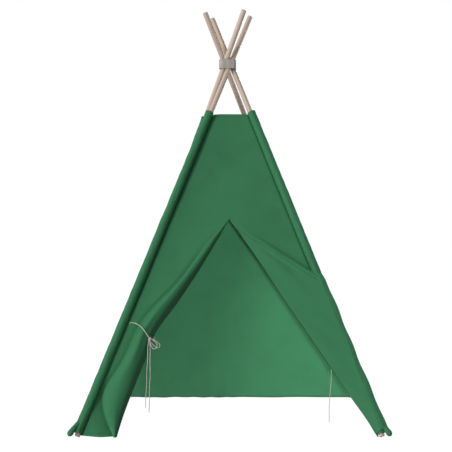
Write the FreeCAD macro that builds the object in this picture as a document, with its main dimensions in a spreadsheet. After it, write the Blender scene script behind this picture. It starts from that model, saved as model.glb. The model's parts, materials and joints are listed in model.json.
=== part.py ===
import FreeCAD, Part

import math
import os

import Sketcher

# A child's play teepee: four wooden poles that cross near their tops, held by a webbing band,
# inside a cotton cover with a sleeve at each corner and a door slit in its front.
# Millimetres, +Z up, the origin on the floor at the middle of the square of feet, the door towards -Y.

DIMENSIONS = {
    "foot_spacing": 1200,        # between the points where neighbouring pole axes meet the floor
    "crossing_height": 1540,     # of the point that all four poles cross around
    "crossing_aside": -8,        # of that point from the middle, because the poles are tied a little off it
    "twist_offset": 18,          # each pole axis passes the crossing point at this distance
    "pole_diameter": 22,
    "pole_length": 2000,
    "pole_edge": 2,              # chamfer round both ends of a pole
    "lower_length": 1000,        # of the lower pole section, up to the joint between sections
    "spigot_length": 40,         # of the turned-down end of each section, inside the ferrule
    "spigot_diameter": 19.6,
    "ferrule_bore": 20,
    "sleeve_diameter": 30,
    "sleeve_bore": 27,
    "sleeve_start": 34,          # from a pole's foot to its sleeve
    "sleeve_length": 1474,
    "corner_tab_diameter": 24,
    "corner_tab_start": 6,
    "corner_tab_length": 36,
    "corner_tab_round": 10,
    "cover_top": 1308,           # height of the cover's upper edge
    "hem_height": 5,
    "cloth_thickness": 3,        # a hemmed double layer, drawn thick enough to be solid
    "seam_gap": 0.6,             # between separate pieces of cloth
    "door_apex": 855,            # height of the top of the door slit
    "door_fold_foot": 566,       # across from the centre line, where the right-hand fold meets the hem
    "door_knot_height": 400,     # height at which the left leaf is tied
    "door_knot_across": 384,     # from the centre line to the gathered leaf at the tie
    "door_hem_across": 505,      # from the centre line to the gathered leaf at the hem
    "roll_top_across": -5,       # middle of the gathered leaf's upper end
    "roll_top_height": 830,
    "roll_top_radius": 6,
    "roll_tie_across": -347,     # middle of the gathered leaf where the cord holds it
    "roll_tie_height": 385,
    "roll_tie_radius": 23,
    "roll_hem_across": -472,
    "roll_hem_height": 22,
    "roll_hem_radius": 25,
    "leaf_thickness": 3,
    "leaf_top_gap": 4,           # from the top of the slit to the right leaf
    "leaf_top_across": 16,
    "leaf_hem_height": 22,
    "leaf_meeting": 12,          # from the wrap's lower end to where the flat part joins it
    "wrap_start": 46,            # along the front right pole, where the right leaf goes round it
    "wrap_end": 742,
    "wrap_from": -62,            # degrees round the pole from its outermost side
    "wrap_angle": 150,
    "band_height": 40,
    "band_width": 70.4,          # across the tent
    "band_depth": 75.6,          # front to back, with room for the right-hand poles as they swing
    "band_corner": 14,
    "band_thickness": 1.6,
    "band_end_width": 34,        # of the sewn overlap that closes the band
    "band_end_gap": 0.2,
    "tie_diameter": 3,
    "knot_radius": 7,
}

CORNERS = {
    "front_left": (-1, -1),
    "front_right": (1, -1),
    "rear_left": (-1, 1),
    "rear_right": (1, 1),
}

# each side of the cover: how far it is turned from the front about +Z, and how many times
# crossing_aside the crossing is further in from its hem, and further along its hem
SIDES = {
    "front": (0, 0, 1),
    "right": (90, -1, 0),
    "rear": (180, 0, -1),
    "left": (270, 1, 0),
}

UP = FreeCAD.Vector(0, 0, 1)

doc = FreeCAD.newDocument("teepee")
dims = doc.addObject("Spreadsheet::Sheet", "Dims")
for row, (alias, size) in enumerate(DIMENSIONS.items(), start=1):
    dims.set(f"A{row}", alias)
    dims.set(f"B{row}", str(size))
    dims.setAlias(f"B{row}", alias)
doc.recompute()

sub_parts = []


def size(alias):
    return float(dims.get(alias))


def keep(part, label, placement):
    """Names a finished sub-part and puts it in its place."""
    part.Label = label
    part.Placement = placement
    sub_parts.append(part)
    return part


def bind(part, **sizes):
    for name, expression in sizes.items():
        part.setExpression(name, expression)


# ---- where things are -------------------------------------------------------------------------

HALF = size("foot_spacing") / 2
SHIFT = size("twist_offset") / math.sqrt(2)
CROSSING = size("crossing_height")
ASIDE = size("crossing_aside")
POLE_RADIUS = size("pole_diameter") / 2


def axes(along_x, along_z, at):
    """A placement whose local Z is along_z and whose local X is as near to along_x as it can be."""
    z = FreeCAD.Vector(along_z).normalize()
    y = z.cross(along_x).normalize()
    return FreeCAD.Placement(at, FreeCAD.Rotation(y.cross(z), y, z, "ZXY"))


def pole_frame(corner):
    """A pole's own frame: its foot end at the origin, its axis along Z, its outer side towards X."""
    side, front = CORNERS[corner]
    ground = FreeCAD.Vector(side * HALF, front * HALF, 0)
    passing = FreeCAD.Vector(ASIDE - front * SHIFT, side * SHIFT, CROSSING)
    axis = (passing - ground).normalize()
    lean = math.acos(axis.z)
    # the lowest point of the square-cut, chamfered end stands on the floor
    lift = (POLE_RADIUS - size("pole_edge")) * math.tan(lean)
    return axes(FreeCAD.Vector(side, front, 0), axis, ground + axis * lift)


def along(frame, distance, outwards=0):
    """The same frame moved up its axis and outwards."""
    return frame * FreeCAD.Placement(FreeCAD.Vector(outwards, 0, distance), FreeCAD.Rotation())


def side_frame(side):
    """The frame of one sloping side: X along the hem from the left foot, Y up the slope, Z outwards."""
    degrees, further_in, _ = SIDES[side]
    slope = FreeCAD.Vector(0, HALF + further_in * ASIDE, CROSSING).normalize()
    outwards = FreeCAD.Vector(1, 0, 0).cross(slope)
    turn = FreeCAD.Placement(FreeCAD.Vector(), FreeCAD.Rotation(UP, degrees))
    return turn * axes(FreeCAD.Vector(1, 0, 0), outwards, FreeCAD.Vector(-HALF, -HALF, 0))


def on_front(across, height, outwards=0):
    """A point given by its distance from the centre line, its height, and how far it is off the cloth."""
    slope = height * math.hypot(HALF, CROSSING) / CROSSING
    return side_frame("front").multVec(FreeCAD.Vector(HALF + across, slope, outwards))


# ---- kinds of piece ---------------------------------------------------------------------------


def outline(body, plane, corners):
    """A closed sketch of straight lines whose corners are pairs of expressions, on one of body's planes."""
    sketch = body.newObject("Sketcher::SketchObject", "Outline")
    origin = [o for o in body.Origin.OriginFeatures if o.Role == plane]
    sketch.AttachmentSupport = [(origin[0], "")]
    sketch.MapMode = "FlatFace"
    spots = [FreeCAD.Vector(value_of(x), value_of(y), 0) for x, y in corners]
    count = len(spots)
    for n in range(count):
        sketch.addGeometry(Part.LineSegment(spots[n], spots[(n + 1) % count]), False)
    for n, (x, y) in enumerate(corners):
        sketch.addConstraint(Sketcher.Constraint("Coincident", n, 2, (n + 1) % count, 1))
        place_corner(sketch, n, "X", x)
        place_corner(sketch, n, "Y", y)
    return sketch


def place_corner(sketch, line, direction, expression):
    """Holds the start of a line at a distance from the sketch's origin, or on its axis if that is 0."""
    if expression == "0":
        axis = {"X": -2, "Y": -1}[direction]
        sketch.addConstraint(Sketcher.Constraint("PointOnObject", line, 1, axis))
        return
    kind = "Distance" + direction
    constraint = Sketcher.Constraint(kind, -1, 1, line, 1, value_of(expression))
    number = sketch.addConstraint(constraint)
    sketch.setExpression(f"Constraints[{number}]", expression)


def value_of(expression):
    return float(dims.evalExpression(expression))


def turned(label, profile, placement):
    """A piece with a round section: a profile of (radius, height) corners turned about Z."""
    body = doc.addObject("PartDesign::Body", label)
    sketch = outline(body, "XZ_Plane", profile)
    turning = body.newObject("PartDesign::Revolution", "Turning")
    turning.Profile = sketch
    turning.ReferenceAxis = (sketch, ["V_Axis"])
    turning.Angle = 360
    return keep(body, label, placement)


def sheet_of_cloth(label, corners, placement, thickness="Dims.cloth_thickness"):
    """A flat piece of cloth of even thickness, its middle on the placement's XY plane."""
    body = doc.addObject("PartDesign::Body", label)
    sketch = outline(body, "XY_Plane", corners)
    layer = body.newObject("PartDesign::Pad", "Layer")
    layer.Profile = sketch
    layer.setExpression("Length", thickness)
    half_thickness = value_of(thickness) / 2
    return keep(body, label, along(placement, -half_thickness))


# ---- poles ------------------------------------------------------------------------------------

POLE_R = "Dims.pole_diameter / 2"
SPIGOT_R = "Dims.spigot_diameter / 2"
EDGE_R = "Dims.pole_diameter / 2 - Dims.pole_edge"
BODY_END = "Dims.lower_length - Dims.spigot_length"


def pole_sections(corner):
    frame = pole_frame(corner)
    # the foot is chamfered, and the other end is turned down where it enters the ferrule
    section_end = [
        (POLE_R, "Dims.pole_edge"),
        (POLE_R, BODY_END),
        (SPIGOT_R, BODY_END),
        (SPIGOT_R, "Dims.lower_length"),
        ("0", "Dims.lower_length"),
    ]
    turned(f"{corner}_pole_lower", [("0", "0"), (EDGE_R, "0"), *section_end], frame)
    joint = size("lower_length")
    # the two spigots meet in the middle of the ferrule, and the upper section starts there
    top = "Dims.pole_length - Dims.lower_length"
    upper = [
        ("0", "0"),
        (SPIGOT_R, "0"),
        (SPIGOT_R, "Dims.spigot_length"),
        (POLE_R, "Dims.spigot_length"),
        (POLE_R, f"{top} - Dims.pole_edge"),
        (EDGE_R, top),
        ("0", top),
    ]
    turned(f"{corner}_pole_upper", upper, along(frame, joint))
    ferrule = [
        ("Dims.ferrule_bore / 2", "0"),
        (POLE_R, "0"),
        (POLE_R, "2 * Dims.spigot_length"),
        ("Dims.ferrule_bore / 2", "2 * Dims.spigot_length"),
    ]
    turned(f"{corner}_ferrule", ferrule, along(frame, joint - size("spigot_length")))


# ---- cover ------------------------------------------------------------------------------------

HALF_SPACING = "Dims.foot_spacing / 2"
TWIST = "Dims.twist_offset / sqrt(2)"
SLEEVE_SIDE = "(Dims.sleeve_diameter / 2 + Dims.seam_gap)"


def slant(side):
    """The slope's length from a side's hem line to the level of the crossing."""
    further_in = SIDES[side][1]
    return f"sqrt(({HALF_SPACING} + {further_in} * Dims.crossing_aside) ^ 2 + Dims.crossing_height ^ 2)"


def up_slope(side, height):
    return f"({height}) * {slant(side)} / Dims.crossing_height"


def edge_run(side, towards_right):
    """How far a side's edge goes along its hem for each millimetre up the slope, from the pole that
    stands on its left (1) or its right (-1): the poles pass the crossing on one side of it."""
    further_along = SIDES[side][2]
    to_crossing = f"({TWIST} + {further_along} * Dims.crossing_aside)"
    return f"(({HALF_SPACING} + {towards_right} * {to_crossing}) / {slant(side)})"


def left_edge(side, height):
    run = edge_run(side, 1)
    return f"{SLEEVE_SIDE} * sqrt(1 + {run} ^ 2) + {run} * {up_slope(side, height)}"


def right_edge(side, height):
    run = edge_run(side, -1)
    clear = f"{SLEEVE_SIDE} * sqrt(1 + {run} ^ 2)"
    return f"Dims.foot_spacing - {clear} - {run} * {up_slope(side, height)}"


def from_middle(across):
    return f"{HALF_SPACING} + ({across})"


def plain_side(side):
    """A side of the cover with no opening: a trapezium between two sleeves."""
    hem, top = "Dims.hem_height", "Dims.cover_top"
    corners = [
        (left_edge(side, hem), up_slope(side, hem)),
        (right_edge(side, hem), up_slope(side, hem)),
        (right_edge(side, top), up_slope(side, top)),
        (left_edge(side, top), up_slope(side, top)),
    ]
    sheet_of_cloth(f"{side}_panel", corners, side_frame(side))


def front_side():
    """The front of the cover, with the doorway that its two leaves leave open."""
    hem, top = "Dims.hem_height", "Dims.cover_top"
    knot = "Dims.door_knot_height"
    corners = [
        (left_edge("front", hem), up_slope("front", hem)),
        (from_middle("-Dims.door_hem_across"), up_slope("front", hem)),
        (from_middle("-Dims.door_knot_across"), up_slope("front", knot)),
        (from_middle("0"), up_slope("front", "Dims.door_apex")),
        (from_middle("Dims.door_fold_foot"), up_slope("front", hem)),
        (right_edge("front", hem), up_slope("front", hem)),
        (right_edge("front", top), up_slope("front", top)),
        (left_edge("front", top), up_slope("front", top)),
    ]
    sheet_of_cloth("front_panel", corners, side_frame("front"))


def sleeve(corner):
    frame = pole_frame(corner)
    tube = [
        ("Dims.sleeve_bore / 2", "0"),
        ("Dims.sleeve_diameter / 2", "0"),
        ("Dims.sleeve_diameter / 2", "Dims.sleeve_length"),
        ("Dims.sleeve_bore / 2", "Dims.sleeve_length"),
    ]
    turned(f"{corner}_sleeve", tube, along(frame, size("sleeve_start")))


def corner_tab(corner):
    """The cover's spare corner: a rounded fold of cloth that hangs outside the pole's foot."""
    rod = doc.addObject("Part::Cylinder", f"{corner}_tab_rod")
    bind(rod, Radius="Dims.corner_tab_diameter / 2", Height="Dims.corner_tab_length")
    doc.recompute()
    tab = doc.addObject("Part::Fillet", f"{corner}_tab")
    tab.Base = rod
    round_radius = size("corner_tab_round")
    ends = [n for n, e in enumerate(rod.Shape.Edges, start=1) if len(e.Vertexes) == 1]
    tab.Edges = [(n, round_radius, round_radius) for n in ends]
    outwards = size("sleeve_diameter") / 2 + size("corner_tab_diameter") / 2 + size("seam_gap")
    place = along(pole_frame(corner), size("corner_tab_start"), outwards)
    keep(tab, f"{corner}_corner_tab", place)


def left_leaf():
    """The left half of the door, gathered into a soft roll that bends where it is tied."""
    places = ("top", "tie", "hem")
    top, tied, hem = [
        on_front(size(f"roll_{place}_across"), size(f"roll_{place}_height"))
        for place in places
    ]
    upper, lower = (tied - top).normalize(), (hem - tied).normalize()
    sections = []
    for place, centre, way in zip(places, (top, tied, hem), (upper, upper + lower, lower)):
        section = doc.addObject("Part::Circle", f"roll_{place}")
        bind(section, Radius=f"Dims.roll_{place}_radius")
        section.Placement = axes(FreeCAD.Vector(1, 0, 0), way, centre)
        sections.append(section)
    roll = doc.addObject("Part::Loft", "Roll")
    roll.Sections = sections
    roll.Solid = True
    roll.Ruled = True
    keep(roll, "left_door_leaf", FreeCAD.Placement())


SEWING = 1e-4    # how closely the ruled faces' edges are matched


def quad(a, b, c, d):
    """The ruled face with these corners, in order round it."""
    return Part.makeRuledSurface(Part.makeLine(a, b), Part.makeLine(d, c))


def six_sided(near, far):
    """The solid between two sets of four corners, with a ruled face on each of its six sides."""
    faces = [quad(*near), quad(*far)]
    for n in range(4):
        m = (n + 1) % 4
        faces.append(quad(near[n], near[m], far[m], far[n]))
    solid = Part.makeSolid(Part.makeShell(faces))
    solid.fix(SEWING, SEWING, SEWING)
    return solid


# the flat part meets the wrap a little way round its edge, inside its thickness, and is thinner
MEETING_TURN = 1          # degrees
MEETING_DEPTH = 0.05      # as a share of the leaf's thickness
FLAT_THICKNESS = 0.9      # likewise


def right_leaf():
    """The right half of the door, turned outwards across the front and round the right sleeve."""
    frame = pole_frame("front_right")
    start, end = size("wrap_start"), size("wrap_end")
    reach = "Dims.sleeve_diameter / 2 + Dims.seam_gap"
    outer = doc.addObject("Part::Cylinder", "WrapOutside")
    inner = doc.addObject("Part::Cylinder", "WrapInside")
    bind(outer, Radius=f"{reach} + Dims.leaf_thickness")
    bind(inner, Radius=reach)
    for tube in (outer, inner):
        bind(tube, Angle="Dims.wrap_angle", Height="Dims.wrap_end - Dims.wrap_start")
    wrap = doc.addObject("Part::Cut", "Wrap")
    wrap.Base, wrap.Tool = outer, inner
    facing = FreeCAD.Rotation(UP, size("wrap_from"))
    wrap.Placement = along(frame, start) * FreeCAD.Placement(FreeCAD.Vector(), facing)

    meeting = FreeCAD.Rotation(UP, size("wrap_from") + MEETING_TURN)
    radius = value_of(reach) + MEETING_DEPTH * size("leaf_thickness")
    first, last = [
        frame.multVec(meeting.multVec(FreeCAD.Vector(radius, 0, distance)))
        for distance in (start + size("leaf_meeting"), end)
    ]
    off_cloth = size("cloth_thickness") / 2 + size("seam_gap")
    apex_height = size("door_apex") - size("leaf_top_gap")
    apex = on_front(size("leaf_top_across"), apex_height, off_cloth)
    fold_foot = on_front(size("door_fold_foot"), size("leaf_hem_height"), off_cloth)
    outwards = side_frame("front").Rotation.multVec(UP)
    near = [apex, fold_foot, first, last]
    far = [corner + outwards * FLAT_THICKNESS * size("leaf_thickness") for corner in near]
    fold = doc.addObject("Part::Feature", "Fold")
    fold.Shape = six_sided(near, far)
    both = doc.addObject("Part::MultiFuse", "RightLeaf")
    both.Shapes = [fold, wrap]
    keep(both, "right_door_leaf", FreeCAD.Placement())


# ---- band at the crossing ---------------------------------------------------------------------


def is_upright(edge):
    foot, head = [vertex.Point for vertex in edge.Vertexes]
    return math.hypot(head.x - foot.x, head.y - foot.y) < abs(head.z - foot.z)


def rounded_block(name, width, depth):
    """An upright block as tall as the band, centred on the Z axis, with its upright edges rounded."""
    block = doc.addObject("Part::Box", name)
    bind(block, Length=width, Width=depth, Height="Dims.band_height")
    block.Placement.Base = FreeCAD.Vector(-value_of(width) / 2, -value_of(depth) / 2, 0)
    doc.recompute()
    rounded = doc.addObject("Part::Fillet", name + "_rounded")
    rounded.Base = block
    radius = size("band_corner")
    upright = [n for n, e in enumerate(block.Shape.Edges, start=1) if is_upright(e)]
    rounded.Edges = [(n, radius, radius) for n in upright]
    return rounded


def band():
    """The webbing band round the four poles, and the sewn overlap that closes it on its left side."""
    base = FreeCAD.Vector(ASIDE, 0, CROSSING - size("band_height") / 2)
    webbing = "2 * Dims.band_thickness"
    ring = doc.addObject("Part::Cut", "Band")
    ring.Base = rounded_block("BandOutside", "Dims.band_width", "Dims.band_depth")
    ring.Tool = rounded_block(
        "BandInside", f"Dims.band_width - {webbing}", f"Dims.band_depth - {webbing}"
    )
    keep(ring, "crossing_band", FreeCAD.Placement(base, FreeCAD.Rotation()))

    overlap = doc.addObject("Part::Box", "Overlap")
    bind(overlap, Length="Dims.band_thickness", Width="Dims.band_end_width")
    bind(overlap, Height="Dims.band_height")
    outside = size("band_width") / 2 + size("band_thickness") + size("band_end_gap")
    aside = FreeCAD.Vector(-outside, -size("band_end_width") / 2, 0)
    keep(overlap, "crossing_band_end", FreeCAD.Placement(base + aside, FreeCAD.Rotation()))


# ---- ties -------------------------------------------------------------------------------------

CORNER_SHARE = 0.45    # of the shorter run beside a point, which its arc takes up


def rounded_path(points):
    """Straight runs joined by tangent arcs, each as large as its two runs allow. Also the arcs' radii."""
    edges, radii = [], []
    reached = points[0]
    for before, point, after in zip(points, points[1:], points[2:]):
        arriving = (point - before).normalize()
        leaving = (after - point).normalize()
        trim = CORNER_SHARE * min((point - before).Length, (after - point).Length)
        turn = arriving.getAngle(leaving)
        radii.append(trim / math.tan(turn / 2))
        first = point - arriving * trim
        last = point + leaving * trim
        inwards = (leaving - arriving).normalize()
        centre = point + inwards * math.hypot(radii[-1], trim)
        middle = centre - inwards * radii[-1]
        edges.append(Part.makeLine(reached, first))
        edges.append(Part.Arc(first, middle, last).toShape())
        reached = last
    edges.append(Part.makeLine(reached, points[-1]))
    return Part.Wire(edges), radii


def cord(label, points):
    """A stretch of tie cord along a route."""
    path, radii = rounded_path(points)
    radius = size("tie_diameter") / 2
    start = (points[1] - points[0]).normalize()
    section = Part.Wire(Part.makeCircle(radius, points[0], start))
    tube = path.makePipeShell([section], True, False)
    share = tube.Volume / (math.pi * radius**2 * path.Length)
    print(f"{label}: {path.Length:.0f} mm, radii {[round(r) for r in radii]}, volume share {share:.4f}")
    piece = doc.addObject("Part::Feature", label)
    piece.Shape = tube
    keep(piece, label, FreeCAD.Placement())


KNOT = on_front(-320, 366, 33)


def ties():
    """The cords that hold the left leaf back, their bow, and the right leaf's cord, which hangs loose."""
    knot = doc.addObject("Part::Sphere", "Knot")
    bind(knot, Radius="Dims.knot_radius")
    keep(knot, "left_tie_knot", FreeCAD.Placement(KNOT, FreeCAD.Rotation()))

    # in front of the gathered leaf, from the seam of the sleeve to the knot
    cord("left_tie_front", [on_front(*p) for p in (
        (-406, 436, 0),
        (-396, 436, 9),
        (-378, 430, 19),
        (-356, 414, 29),
        (-339, 393, 35),
        (-325, 372, 34),
    )])
    # behind it, from the inside of the same seam and round its edge to the knot
    cord("left_tie_back", [on_front(*p) for p in (
        (-406, 428, 0),
        (-398, 427, -10),
        (-381, 424, -21),
        (-358, 416, -30),
        (-334, 403, -33),
        (-313, 390, -26),
        (-300, 378, -7),
        (-303, 370, 13),
        (-314, 366, 28),
    )])
    for label, reach, drop, off in (
        ("left_tie_loop_upper", 40, 32, 3),
        ("left_tie_loop_lower", 22, 45, 8),
    ):
        cord(label, loop_points(FreeCAD.Vector(reach, 0, -drop), off))
    cord("left_tie_tail_short", [KNOT + FreeCAD.Vector(*p) for p in (
        (-4, 3, -3),
        (-9, 5, -39),
        (-8, 6, -87),
        (-13, 5, -134),
        (-12, 5, -183),
        (-17, 6, -231),
        (-17, 7, -278),
    )])
    cord("left_tie_tail_long", [KNOT + FreeCAD.Vector(*p) for p in (
        (-1, 4, -3),
        (2, 8, -44),
        (0, 9, -95),
        (2, 8, -147),
        (-2, 8, -198),
        (-1, 7, -248),
        (-4, 8, -296),
    )])
    # from the inside of the front right sleeve's seam, straight down
    cord("right_tie", [FreeCAD.Vector(*p) for p in (
        (412, -431, 434),
        (412.5, -424, 419),
        (412, -421.5, 393),
        (413.5, -421, 348),
        (411, -421, 300),
        (413, -422, 252),
        (412, -421, 205),
        (408, -420, 158),
        (404, -420, 112),
        (402.5, -421, 72),
        (403.5, -421, 36),
    )])


LOOP_START = ((4, 2.4), (17, 7))          # distances out from the knot, with half the loop's width
LOOP_END = ((0.62, 10), (0.93, 7.5))      # likewise, as shares of the loop's reach


def loop_points(tip, off):
    """A loop of the bow: out from the knot, round and back, hanging towards tip."""
    way = FreeCAD.Vector(tip).normalize()
    front = side_frame("front").Rotation.multVec(UP)
    across = way.cross(front).normalize()
    level = KNOT + front * off
    shape = [*LOOP_START, *((share * tip.Length, wide) for share, wide in LOOP_END)]
    outgoing = [level + way * out + across * wide for out, wide in shape]
    incoming = [level + way * out - across * wide for out, wide in reversed(shape)]
    return outgoing + incoming


# ---- the whole teepee -------------------------------------------------------------------------

for corner in CORNERS:
    pole_sections(corner)
    sleeve(corner)
    corner_tab(corner)
for side in ("right", "rear", "left"):
    plain_side(side)
front_side()
left_leaf()
right_leaf()
band()
ties()
doc.recompute()

for thing in doc.Objects:
    if {"Invalid", "Error"} & set(thing.State):
        raise RuntimeError(f"{thing.Label} failed: {thing.State}")
for part in sub_parts:
    if part.Shape.isNull() or not part.Shape.isValid() or not part.Shape.Solids:
        raise RuntimeError(f"{part.Label} has no valid shape")

os.makedirs("parts", exist_ok=True)
for part in sub_parts:
    part.Shape.exportStep(f"parts/{part.Label}.step")
    print(f"{part.Label}: {len(part.Shape.Solids)} solid, {part.Shape.Volume / 1000:.1f} cm3")
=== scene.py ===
import json
import math

import bmesh
import bpy
import numpy as np
from mathutils import Matrix, Vector, noise


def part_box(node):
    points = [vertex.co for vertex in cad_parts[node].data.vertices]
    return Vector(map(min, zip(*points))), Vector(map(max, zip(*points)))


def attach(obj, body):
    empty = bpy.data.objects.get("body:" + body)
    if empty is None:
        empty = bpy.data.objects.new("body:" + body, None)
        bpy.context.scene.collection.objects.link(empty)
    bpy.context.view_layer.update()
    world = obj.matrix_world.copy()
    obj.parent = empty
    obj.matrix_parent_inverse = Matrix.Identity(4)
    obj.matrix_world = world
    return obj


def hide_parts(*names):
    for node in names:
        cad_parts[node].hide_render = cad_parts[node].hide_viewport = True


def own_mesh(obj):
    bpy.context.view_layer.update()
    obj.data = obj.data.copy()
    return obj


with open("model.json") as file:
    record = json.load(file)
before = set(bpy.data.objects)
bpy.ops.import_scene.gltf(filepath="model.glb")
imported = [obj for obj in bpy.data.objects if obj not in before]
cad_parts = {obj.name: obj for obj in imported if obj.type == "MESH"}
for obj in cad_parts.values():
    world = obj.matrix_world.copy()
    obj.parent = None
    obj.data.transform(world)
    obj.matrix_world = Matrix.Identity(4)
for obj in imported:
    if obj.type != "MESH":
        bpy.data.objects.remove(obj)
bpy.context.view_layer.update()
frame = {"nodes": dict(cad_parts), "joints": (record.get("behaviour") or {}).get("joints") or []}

# Looks for the play teepee: sewn cotton canvas, light wooden poles, webbing and cotton cord.
# Metres, +Z up, the door towards -Y, as in the frame.

# ---- the frame's own sizes ----

HALF = 0.6  # half the distance between neighbouring pole feet
PIVOT = Vector(frame["joints"][0]["pos_m"])
ASIDE, CROSSING = PIVOT.x, PIVOT.z  # the point that the poles cross around
TWIST = 0.018 / math.sqrt(2)  # how far each pole passes from it, along X and along Y
POLE_R = 0.011
POLE_EDGE = 0.002
COVER_TOP = 1.312
HEM = 0.005

CORNERS = {"front_left": (-1, -1), "front_right": (1, -1), "rear_left": (-1, 1), "rear_right": (1, 1)}

# each side: its turn from the front about +Z, how many times ASIDE the crossing is further in from
# its hem and further along it, and its left and right poles
SIDES = {
    "front": (0, 0, 1, ("front_left", "front_right")),
    "right": (90, -1, 0, ("front_right", "rear_right")),
    "rear": (180, 0, -1, ("rear_right", "rear_left")),
    "left": (270, 1, 0, ("rear_left", "front_left")),
}


def unit(v):
    return v / np.linalg.norm(v, axis=-1, keepdims=True)


def together(*parts):
    """Coordinates spread to one shape, with a last axis that runs over them."""
    return np.stack(np.broadcast_arrays(*parts), axis=-1)


def side_point(side, across, height, out=0.0):
    """Points on a sloping side: distances along it from its middle, heights and distances off it."""
    degrees, further_in, _, _ = SIDES[side]
    inward = HALF + further_in * ASIDE
    slant = math.hypot(inward, CROSSING)
    y = -HALF + inward * height / CROSSING - CROSSING / slant * out
    z = height + inward / slant * out
    c, s = math.cos(math.radians(degrees)), math.sin(math.radians(degrees))
    return together(c * across - s * y, s * across + c * y, z)


def pole_across(side, height):
    """Where the axes of a side's left and right poles are along it, at a height."""
    along = TWIST + SIDES[side][2] * ASIDE
    share = height / CROSSING
    return -HALF + (HALF + along) * share, HALF - (HALF - along) * share


class Pole:
    """A pole's own frame: out is away from the tent's middle, along is up the pole from its foot."""

    def __init__(self, corner):
        side, front = CORNERS[corner]
        ground = np.array([side * HALF, front * HALF, 0.0])
        passing = np.array([ASIDE - front * TWIST, side * TWIST, CROSSING])
        self.z = unit(passing - ground)
        lift = (POLE_R - POLE_EDGE) * math.tan(math.acos(self.z[2]))
        self.foot = ground + lift * self.z
        self.y = unit(np.cross(self.z, [side, front, 0.0]))
        self.x = np.cross(self.y, self.z)

    def point(self, out, round_it, along):
        out, round_it, along = (np.asarray(v, float)[..., None] for v in (out, round_it, along))
        return self.foot + out * self.x + round_it * self.y + along * self.z

    def matrix(self):
        columns = [[*axis, 0] for axis in (self.x, self.y, self.z)] + [[*self.foot, 1]]
        return Matrix(np.array(columns).T.tolist())


POLES = {corner: Pole(corner) for corner in CORNERS}


def smooth(*knots):
    """A smooth curve through (x, y) knots in order, as a function that takes one x or an array."""
    xs, ys = np.array(knots, float).T
    slopes = np.gradient(ys, xs)

    def value(x):
        x = np.clip(x, xs[0], xs[-1])
        n = np.clip(np.searchsorted(xs, x, side="right") - 1, 0, len(xs) - 2)
        span = xs[n + 1] - xs[n]
        t = (x - xs[n]) / span
        return (
            (1 + 2 * t) * (1 - t) ** 2 * ys[n] + t * (1 - t) ** 2 * span * slopes[n]
            + t * t * (3 - 2 * t) * ys[n + 1] + t * t * (t - 1) * span * slopes[n + 1]
        )

    return value


def step(low, high, x):
    """0 below low, 1 above high, smooth between them."""
    t = np.clip((x - low) / (high - low), 0, 1)
    return t * t * (3 - 2 * t)


def fade(low, high, x):
    """1 below low, 0 above high."""
    return 1 - step(low, high, x)


def bump(x, middle, width):
    """1 at the middle, dying away to both sides."""
    return np.exp(-(((x - middle) / width) ** 2))


def rough(u, v, scale, seed):
    """Smooth noise over two coordinates, between about -1 and 1, the same each run."""
    u, v = np.broadcast_arrays(u, v)
    flat = [noise.noise(Vector((a * scale, b * scale, seed))) for a, b in zip(u.ravel(), v.ravel())]
    return np.array(flat).reshape(u.shape) * 1.6


# ---- materials ----


class Nodes:
    """The nodes of a material or of the world, and short ways to add to them."""

    def __init__(self, owner):
        owner.use_nodes = True
        self.owner = owner
        self.tree = owner.node_tree

    def add(self, kind, **values):
        return self.feed_named(self.tree.nodes.new(kind), values)

    def feed(self, socket, value):
        if isinstance(value, bpy.types.NodeSocket):
            self.tree.links.new(value, socket)
        else:
            socket.default_value = value

    def feed_named(self, node, values):
        for key, value in values.items():
            self.feed(node.inputs[key.replace("_", " ")], value)
        return node

    def feed_all(self, node, values):
        for socket, value in zip(node.inputs, values):
            self.feed(socket, value)
        return node.outputs[0]

    def math(self, operation, *values):
        node = self.tree.nodes.new("ShaderNodeMath")
        node.operation = operation
        return self.feed_all(node, values)

    def blend(self, one, share, other):
        """A share of one value and the rest of the other."""
        return self.math("MULTIPLY_ADD", one, share, self.math("MULTIPLY", other, 1 - share))

    def noise(self, where, scale, detail=2.0):
        return self.add("ShaderNodeTexNoise", Vector=where, Scale=scale, Detail=detail).outputs["Fac"]

    def grain(self, where, stretch, detail=2.0):
        """Noise that is finer along each axis by its stretch."""
        stretched = self.add("ShaderNodeMapping", Vector=where, Scale=stretch).outputs[0]
        return self.noise(stretched, 1.0, detail)

    def ramp(self, amount, *stops):
        node = self.tree.nodes.new("ShaderNodeValToRGB")
        elements = node.color_ramp.elements
        while len(elements) < len(stops):
            elements.new(1.0)
        for element, (place, colour) in zip(elements, stops):
            element.position = place
            element.color = (*colour, 1)
        self.feed(node.inputs[0], amount)
        return node.outputs[0]

    def threads(self, coordinate, pitch):
        """A wave with one crest for each thread, as wide apart as pitch."""
        wave = self.math("SINE", self.math("MULTIPLY", coordinate, math.tau / pitch))
        return self.math("MULTIPLY_ADD", wave, 0.5, 0.5)

    def shade(self, **values):
        """The material, with its shader's sockets fed."""
        self.feed_named(self.tree.nodes["Principled BSDF"], values)
        return self.owner

    def finish(self, colour, height, depth, roughness, **constants):
        bumps = self.add("ShaderNodeBump", Height=height, Distance=depth, Strength=1.0)
        return self.shade(Base_Color=colour, Roughness=roughness, Normal=bumps.outputs[0], **constants)


def new_material(name):
    return Nodes(bpy.data.materials.new(name))


def darker(colour, share):
    return tuple(c * share for c in colour)


WEAVE_PITCH = 0.0011


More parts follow.
